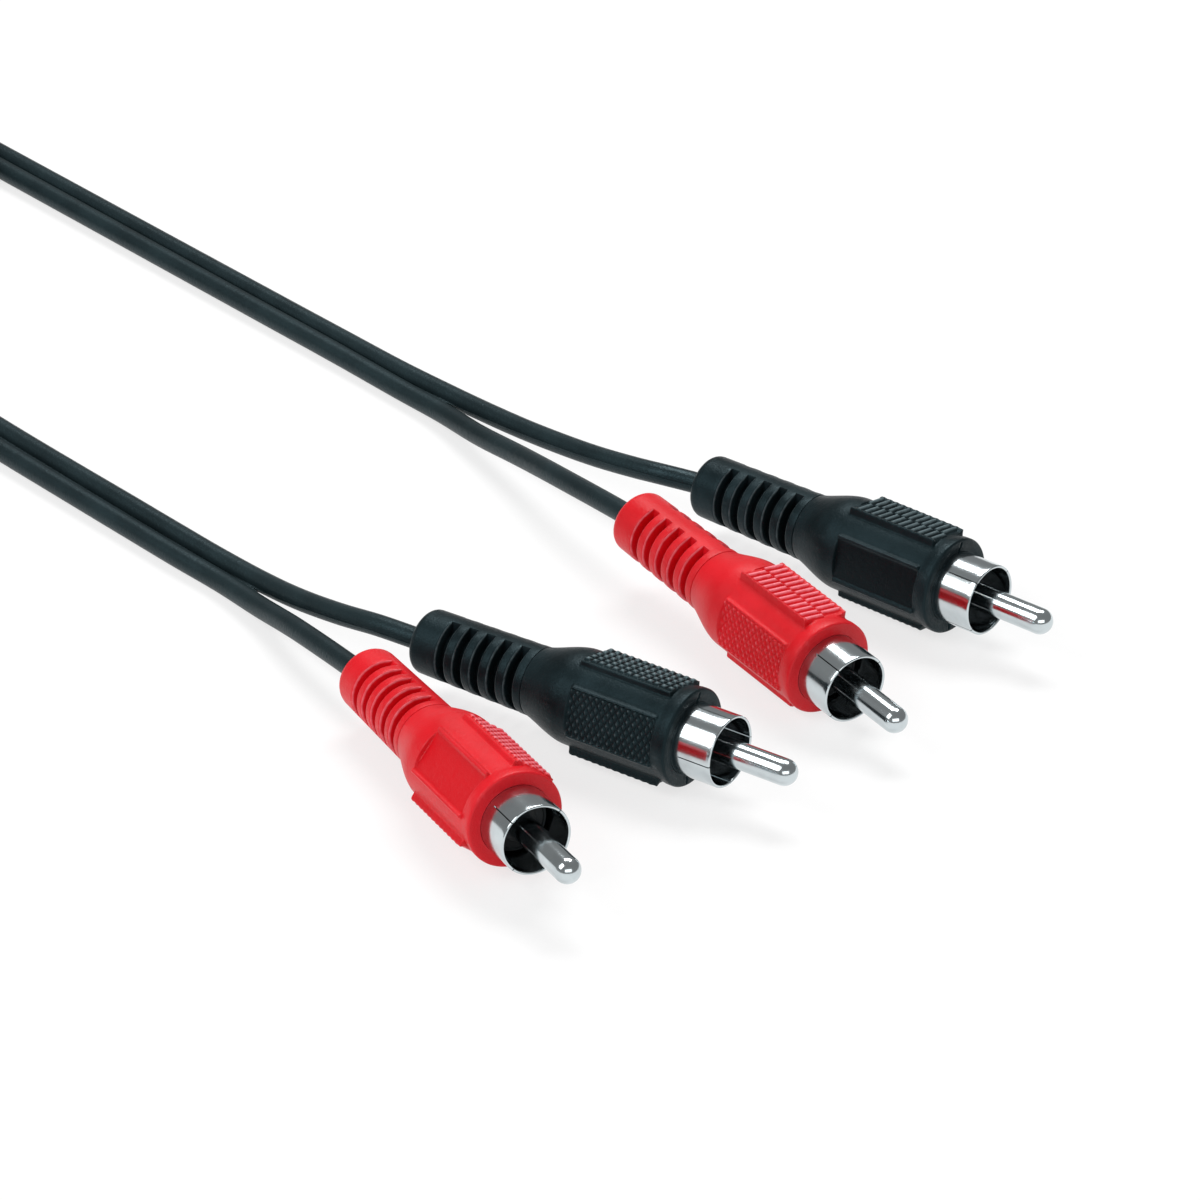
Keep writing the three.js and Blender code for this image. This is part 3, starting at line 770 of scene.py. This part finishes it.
def make_shell(name, place, turn):
    """The ground shell: a thin drawn cup with a rolled rim, slits and a rear neck."""
    front, back = shell_profiles()
    profile = front + back
    half = math.degrees(SLIT_WIDTH / 2 / SHELL_RADIUS)
    pitch, per_slit = 360 // SLITS, SHELL_SIDES // SLITS
    angles = []
    for middle in range(0, 360, pitch):
        angles += [middle - half, middle + half]
        steps = per_slit - 1
        angles += [middle + half + (pitch - 2 * half) * k / steps for k in range(1, steps)]
    faces = []
    for i in range(len(profile)):
        for j in range(SHELL_SIDES):
            if i < len(front) - 1 and j % per_slit == 0:
                continue
            low, high = i * SHELL_SIDES, (i + 1) % len(profile) * SHELL_SIDES
            k = (j + 1) % SHELL_SIDES
            faces.append((low + j, low + k, high + k, high + j))
    last = (len(front) - 1) * SHELL_SIDES
    for near in range(0, SHELL_SIDES, per_slit):
        far = near + 1
        for column in (near, far):
            faces.append(tuple(i * SHELL_SIDES + column for i in range(len(front))))
        faces.append((near, far, last + far, last + near))
    rolled = place @ Matrix.Rotation(math.radians(turn), 4, "X")
    points = turn_profile(profile, angles)
    return make_piece(name, points, faces, NICKEL, rolled, along_axis(points))


def make_pin(name, place):
    """The centre pin: a round nose, a stem through the insulator and a cup for the wire."""
    nose = arc(PIN_REACH - PIN_RADIUS, 0, PIN_RADIUS, 0, 90, 14)
    nose[0] = (PIN_REACH, 0)
    shoulder = INSULATOR_FACE + PIN_SHOULDER
    cup_floor = PIN_STEM_REAR + CUP_DEPTH
    profile = nose + [
        (8.0, PIN_RADIUS),
        (3.0, PIN_RADIUS),
        (shoulder + 0.1, PIN_RADIUS),
        (shoulder, PIN_RADIUS - 0.1),
        (shoulder, PIN_STEM),
        (PIN_STEM_REAR, PIN_STEM),
        (PIN_STEM_REAR, CUP_RADIUS),
        (cup_floor, CUP_RADIUS),
        (cup_floor, 0),
    ]
    return make_turned(name, place, NICKEL, profile)


def make_insulator(name, place):
    """The disc in the shell, with a low ring round the pin, and the hub behind it."""
    disc_rear = SHELL_REAR + SHELL_WALL + 0.3
    profile = [
        (INSULATOR_FACE, INSULATOR_BORE),
        (INSULATOR_FACE, 2.2),
        (INSULATOR_FACE - INSULATOR_GROOVE, 2.3),
        (INSULATOR_FACE - INSULATOR_GROOVE, 3.2),
        (INSULATOR_FACE, 3.3),
        (INSULATOR_FACE - 0.05, 3.55),
        (INSULATOR_FACE - 0.3, INSULATOR_RADIUS),
        (disc_rear, INSULATOR_RADIUS),
        (disc_rear, INSULATOR_HUB),
        (NECK_REAR, INSULATOR_HUB),
        (NECK_REAR, INSULATOR_BORE),
    ]
    return make_turned(name, place, INSULATOR, profile)


# ---------------------------------------------------------------- plugs

# Front face's centre in metres, then heading, nose, roll and the shell's own turn in degrees
PLUGS = {
    "left_red": ((-0.021016, -0.034101, 0.007101), -62.5, 2.17, 141.5, -7),
    "left_black": ((-0.000956, -0.015571, 0.006532), -35.75, 0, 167, 13),
    "right_red": ((0.014954, 0.000919, 0.006064), -54.5, -3.62, -7.3, 45),
    "right_black": ((0.030534, 0.019549, 0.006316), -40.5, 0, -10.5, 48),
}
# The panel with knobs lies on one side of the ribbed pad or on the other
KNOB_SIDE = {"red": 3, "black": 1}


def plug_place(plug):
    """The transform from a plug's own axes, which run forwards along X, to its place."""
    face, heading, nose, roll, _ = PLUGS[plug]
    return (
        Matrix.Translation(face)
        @ Matrix.Rotation(math.radians(heading), 4, "Z")
        @ Matrix.Rotation(math.radians(-nose), 4, "Y")
        @ Matrix.Rotation(math.radians(roll), 4, "X")
    )


def make_plug(plug):
    """The four pieces of a plug that can be seen, in place of their solids."""
    colour = plug.split("_")[1]
    place = plug_place(plug)
    finish = RED if colour == "red" else BLACK
    made = {
        "body": make_body(f"{plug}_moulding", place, finish, colour),
        "ground_shell": make_shell(f"{plug}_contact_shell", place, PLUGS[plug][4]),
        "insulator": make_insulator(f"{plug}_insulator_disc", place),
        "centre_pin": make_pin(f"{plug}_pin", place),
    }
    for part, piece in made.items():
        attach(piece, "root")
        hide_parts(f"{plug}_{part}")


# ---------------------------------------------------------------- twin cord

STRAND_RADIUS, STRAND_LENGTH = 0.001325, 1.415
# A strand is thicker than its solid, so it lies this much higher
STRAND_LIFT = Vector((0, 0, 0.000125))
TWIN_HALF = 0.00135
ROUTE_STEP = 0.0013
# How far a strand runs straight out of its boot, in millimetres
STRAIGHT_OUT = 1.3

# The direction in which the leads run up to the coil, in degrees, and the coil's own sizes
RUN_ANGLE = 131.56
COIL_MIDDLE = Vector((-0.127306, 0.142719, 0))
COIL_OUTSIDE, INNER_COLUMN, OUTER_COLUMN, LAYER = 0.02942, 0.021095, 0.026445, 0.00255
COIL_START, COIL_TURNS, COIL_STEPS = 221.56, 7.5, 60
# Where on its turns the cord climbs to the next layer, crosses to the outer column and drops
CLIMBS, CLIMB_START, CLIMB_LENGTH = 4, 0.782, 0.106
CROSS_START, CROSS_LENGTH = 4.671, 0.111
DROPS, DROP_LENGTH = (5, 6, 7), 0.1
COIL_SWAY, SWAY_RATE = 0.00008, 5.1

# Points of the strands' solids between each plug and the coil, in metres
LEADS = {
    "left_red": [
        (-0.047, 0.0133, 0.0037),
        (-0.0521, 0.0221, 0.0019),
        (-0.0572, 0.0294, 0.0012),
        (-0.0623, 0.035, 0.0012),
        (-0.0675, 0.0409, 0.0012),
        (-0.0929, 0.0701, 0.0012),
        (-0.0972, 0.0756, 0.0012),
        (-0.1018, 0.0822, 0.0012),
        (-0.1065, 0.0888, 0.0012),
        (-0.1108, 0.0943, 0.0012),
    ],
    "left_black": [
        (-0.0374, 0.0109, 0.0058),
        (-0.0423, 0.0159, 0.0045),
        (-0.0473, 0.0216, 0.0032),
        (-0.0523, 0.0278, 0.0022),
        (-0.0574, 0.0336, 0.0019),
        (-0.0625, 0.0393, 0.0019),
        (-0.0678, 0.0453, 0.0019),
        (-0.0909, 0.0719, 0.0019),
        (-0.0959, 0.0768, 0.0033),
        (-0.1018, 0.0822, 0.004),
        (-0.1076, 0.0874, 0.0034),
        (-0.1121, 0.0919, 0.0022),
        (-0.1164, 0.0965, 0.00135),
    ],
    "right_red": [
        (-0.0164, 0.0461, 0.0062),
        (-0.0214, 0.055, 0.0043),
        (-0.0265, 0.0634, 0.0026),
        (-0.0316, 0.0717, 0.0015),
        (-0.0368, 0.0781, 0.0012),
        (-0.0447, 0.0873, 0.0012),
        (-0.0555, 0.0995, 0.0012),
    ],
    "right_black": [
        (-0.0042, 0.0474, 0.006),
        (-0.0067, 0.0494, 0.0056),
        (-0.0116, 0.0541, 0.0046),
        (-0.0165, 0.0595, 0.0036),
        (-0.0215, 0.0651, 0.0028),
        (-0.0266, 0.0709, 0.0022),
        (-0.0317, 0.0765, 0.0019),
        (-0.0369, 0.0822, 0.0017),
        (-0.0448, 0.0915, 0.0014),
        (-0.0502, 0.0977, 0.0013),
    ],
}


def coil_point(turns, side):
    """A point of the coil after so many turns: up the inner column, then down the outer one."""
    climbs = sum(ease((turns - k - CLIMB_START) / CLIMB_LENGTH) for k in range(CLIMBS))
    across = ease((turns - CROSS_START) / CROSS_LENGTH)
    drops = sum(ease((turns - k) / DROP_LENGTH) for k in DROPS)
    column = INNER_COLUMN + (OUTER_COLUMN - INNER_COLUMN) * across
    sway = COIL_SWAY * math.sin(SWAY_RATE * turns + 1) * ease(turns) * ease(COIL_TURNS - turns)
    radius = column + side * TWIN_HALF + sway
    angle = math.radians(COIL_START - 360 * turns)
    height = STRAND_RADIUS + LAYER * (climbs - across - drops)
    return COIL_MIDDLE + Vector((radius * math.cos(angle), radius * math.sin(angle), height))


def coil_entry(offset):
    """Where a strand that passes the coil's middle at that distance meets its outside."""
    run = Vector((math.cos(math.radians(RUN_ANGLE)), math.sin(math.radians(RUN_ANGLE)), 0))
    across = Vector((run.y, -run.x, 0))
    short = math.sqrt(COIL_OUTSIDE**2 - (abs(offset) - STRAND_RADIUS) ** 2)
    return COIL_MIDDLE + across * offset - run * short + Vector((0, 0, STRAND_RADIUS))


def lead_knots(plug, offset):
    """The route from a plug's rear end to the coil's outside."""
    place = plug_place(plug)
    sag = Vector((0, 0, -CORD_SAG * MM))
    start = place @ Vector(((BOOT_REAR + 0.05) * MM, 0, 0)) + sag
    straight = place @ Vector(((BOOT_REAR - STRAIGHT_OUT) * MM, 0, 0)) + sag * 1.1
    route = [Vector(point) + STRAND_LIFT for point in LEADS[plug]]
    return [start, straight, *route, coil_entry(offset)]


def smooth_segment(a, b, c, d, steps):
    """Points from b up to c on a centripetal curve that also heeds a and d."""
    t1 = math.sqrt((b - a).length)
    t2 = t1 + math.sqrt((c - b).length)
    t3 = t2 + math.sqrt((d - c).length)
    made = []
    for k in range(steps):
        t = t1 + (t2 - t1) * k / steps
        ab = a * ((t1 - t) / t1) + b * (t / t1)
        bc = b * ((t2 - t) / (t2 - t1)) + c * ((t - t1) / (t2 - t1))
        cd = c * ((t3 - t) / (t3 - t2)) + d * ((t - t2) / (t3 - t2))
        abc = ab * ((t2 - t) / t2) + bc * (t / t2)
        bcd = bc * ((t3 - t) / (t3 - t1)) + cd * ((t - t1) / (t3 - t1))
        made.append(abc * ((t2 - t) / (t2 - t1)) + bcd * ((t - t1) / (t2 - t1)))
    return made


def strand_route(colour, side):
    """One strand's centreline from plug to plug, and where on it the coil starts and ends."""
    left = lead_knots(f"left_{colour}", -(INNER_COLUMN + side * TWIN_HALF))
    right = lead_knots(f"right_{colour}", OUTER_COLUMN + side * TWIN_HALF)
    steps = int(COIL_TURNS * COIL_STEPS)
    coil = [coil_point(k / COIL_STEPS, side) for k in range(steps + 1)]
    knots = left + coil + right[::-1]
    points, marks = [], []
    for i in range(len(knots) - 1):
        if i in (len(left), len(left) + steps):
            marks.append(len(points))
        before = knots[i - 1] if i else knots[0] * 2 - knots[1]
        after = knots[i + 2] if i + 2 < len(knots) else knots[-1] * 2 - knots[-2]
        in_coil = len(left) <= i < len(left) + steps
        gap = (knots[i + 1] - knots[i]).length
        count = 1 if in_coil else max(1, round(gap / ROUTE_STEP))
        points += smooth_segment(before, knots[i], knots[i + 1], after, count)
    points.append(knots[-1])
    return points, marks


def nearest_on(point, line):
    """The place on a line of points that is nearest to a point."""
    best, found = 1e9, line[0]
    for a, b in zip(line, line[1:]):
        step = b - a
        share = min(1.0, max(0.0, (point - a).dot(step) / step.length_squared))
        place = a + step * share
        away = (point - place).length_squared
        if away < best:
            best, found = away, place
    return found


def partner_places(route, other):
    """For each point of a strand, the place on the other strand that it is joined to."""
    points, (first, last) = route
    other_points, (other_first, other_last) = other
    past_coil_end = 6
    left = other_points[: other_first + past_coil_end]
    right = other_points[other_last - past_coil_end :]
    places = []
    for i, point in enumerate(points):
        if i < first:
            places.append(nearest_on(point, left))
        elif i > last:
            places.append(nearest_on(point, right))
        else:
            places.append(other_points[other_first + i - first])
    return places


# The web joins the strands where they lie nearer than its reach; elsewhere it is torn
WEB_HALF, WEB_REACH, WEB_FADE, WEB_OVERLAP = 0.00028, 0.00306, 0.0003, 0.00001
TEAR_HALF, TEAR_HEIGHT, TEAR_SCALE = 0.00013, 0.00008, 900
JACKET_SIDES = 18


def strand_section(tip, half):
    """Outline of a strand: a little web up to its tip, and the round jacket behind it."""
    root = math.asin(half / STRAND_RADIUS)
    outline = [(tip, 0), (tip, half), (STRAND_RADIUS * math.cos(root), half)]
    for k in range(JACKET_SIDES):
        angle = root + (2 * math.pi - 2 * root) * (k + 0.7) / (JACKET_SIDES + 0.4)
        outline.append((STRAND_RADIUS * math.cos(angle), STRAND_RADIUS * math.sin(angle)))
    outline += [(STRAND_RADIUS * math.cos(root), -half), (tip, -half)]
    return outline


def make_strand(name, route, other):
    """One jacketed strand with its half of the web, torn to a fine ridge near the plugs."""
    points = route[0]
    partners = partner_places(route, other)
    rings = []
    for i, point in enumerate(points):
        ahead = points[min(i + 1, len(points) - 1)] - points[max(i - 1, 0)]
        ahead.normalize()
        towards = partners[i] - point
        gap = towards.length
        towards -= ahead * towards.dot(ahead)
        towards.normalize()
        sideways = ahead.cross(towards)
        joined = ease((WEB_REACH + WEB_FADE - gap) / WEB_FADE)
        rag = 0.9 + noise.noise(point * TEAR_SCALE)
        tip = STRAND_RADIUS + TEAR_HEIGHT * rag * (1 - joined)
        tip += (gap / 2 + WEB_OVERLAP - STRAND_RADIUS) * joined
        half = TEAR_HALF + (WEB_HALF - TEAR_HALF) * joined
        rings.append([point + towards * u + sideways * v for u, v in strand_section(tip, half)])
    sides = len(rings[0])
    faces = loop_faces(len(rings), sides, False)
    faces.append(tuple(range(sides)))
    faces.append(tuple((len(rings) - 1) * sides + j for j in range(sides)))
    return make_piece(name, [p for ring in rings for p in ring], faces, JACKET)


def make_cord():
    """The twin cord: both strands, in place of the strands' solids and the coil."""
    red_route = strand_route("red", -1)
    black_route = strand_route("black", 1)
    red = make_strand("red_plug_strand", red_route, black_route)
    black = make_strand("black_plug_strand", black_route, red_route)
    for piece, route, nodes in (
        (red, red_route, ("left_red_strand", "right_red_strand", "cord_coil")),
        (black, black_route, ("left_black_strand", "right_black_strand")),
    ):
        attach(piece, "root")
        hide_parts(*nodes)


def finish_solids():
    """Gives every solid its finish. Those inside the plugs have no piece in their place."""
    for part in frame["record"]["subparts"]:
        for slot in frame["nodes"][part["node"]].material_slots:
            slot.material = FINISH_OF_SLOT[part["material_slot"]]


make_cord()
for plug in PLUGS:
    make_plug(plug)
finish_solids()


# ---------------------------------------------------------------- table, lamps and room

TABLE_RADIUS = 8.0
TABLE_GREY, TABLE_WHITE = (0.92, 0.92, 0.92, 1), 0.72
ROOM_LIGHT = 0.25
# Place, width and depth in metres, and power in watts
LAMPS = {
    "top_box": ((0.1, 0.7, 1.15), (0.9, 0.5), 15),
    "left_box": ((-0.95, -0.35, 0.9), (0.6, 0.8), 8),
    "front_box": ((0.3, -1.6, 0.75), (1.8, 0.7), 8),
}


def make_table():
    """A pale table, which the camera sees nearly white, also in mirrors and through glass."""
    finish = Finish("white_table")
    rays = finish.node("ShaderNodeLightPath", out="Is Camera Ray")
    glossy = finish.node("ShaderNodeLightPath", out="Is Glossy Ray")
    through = finish.node("ShaderNodeLightPath", out="Is Transmission Ray")
    seen = rays.larger(glossy).larger(through)
    plain = finish.node("ShaderNodeBsdfDiffuse", {}, {"Color": TABLE_GREY})
    white = finish.node("ShaderNodeEmission", {}, {"Color": (1, 1, 1, 1), "Strength": 1.0})
    mixed = finish.node("ShaderNodeMixShader", {}, {0: seen * TABLE_WHITE, 1: plain, 2: white})
    finish.node("ShaderNodeOutputMaterial", {}, {"Surface": mixed})
    work = bmesh.new()
    bmesh.ops.create_circle(work, cap_ends=True, radius=TABLE_RADIUS, segments=96)
    mesh = bpy.data.meshes.new("table_top")
    work.to_mesh(mesh)
    work.free()
    mesh.materials.append(finish.material)
    table = bpy.data.objects.new("table_top", mesh)
    table.location.z = cad_box[0].z - 0.0001
    scene.collection.objects.link(table)


def make_lamp(name, place, size, power):
    """A soft box that is turned to the plugs."""
    data = bpy.data.lights.new(name, "AREA")
    data.shape = "RECTANGLE"
    data.size, data.size_y = size
    data.energy = power
    lamp = bpy.data.objects.new(name, data)
    lamp.location = place
    lamp.rotation_euler = (-Vector(place)).to_track_quat("-Z", "Y").to_euler()
    scene.collection.objects.link(lamp)


def make_room():
    """A room of plain white light."""
    world = bpy.data.worlds.new("room")
    world.use_nodes = True
    background = world.node_tree.nodes["Background"]
    background.inputs["Color"].default_value = (1, 1, 1, 1)
    background.inputs["Strength"].default_value = ROOM_LIGHT
    scene.world = world


make_table()
for lamp_name, (lamp_place, lamp_size, lamp_power) in LAMPS.items():
    make_lamp(lamp_name, lamp_place, lamp_size, lamp_power)
make_room()
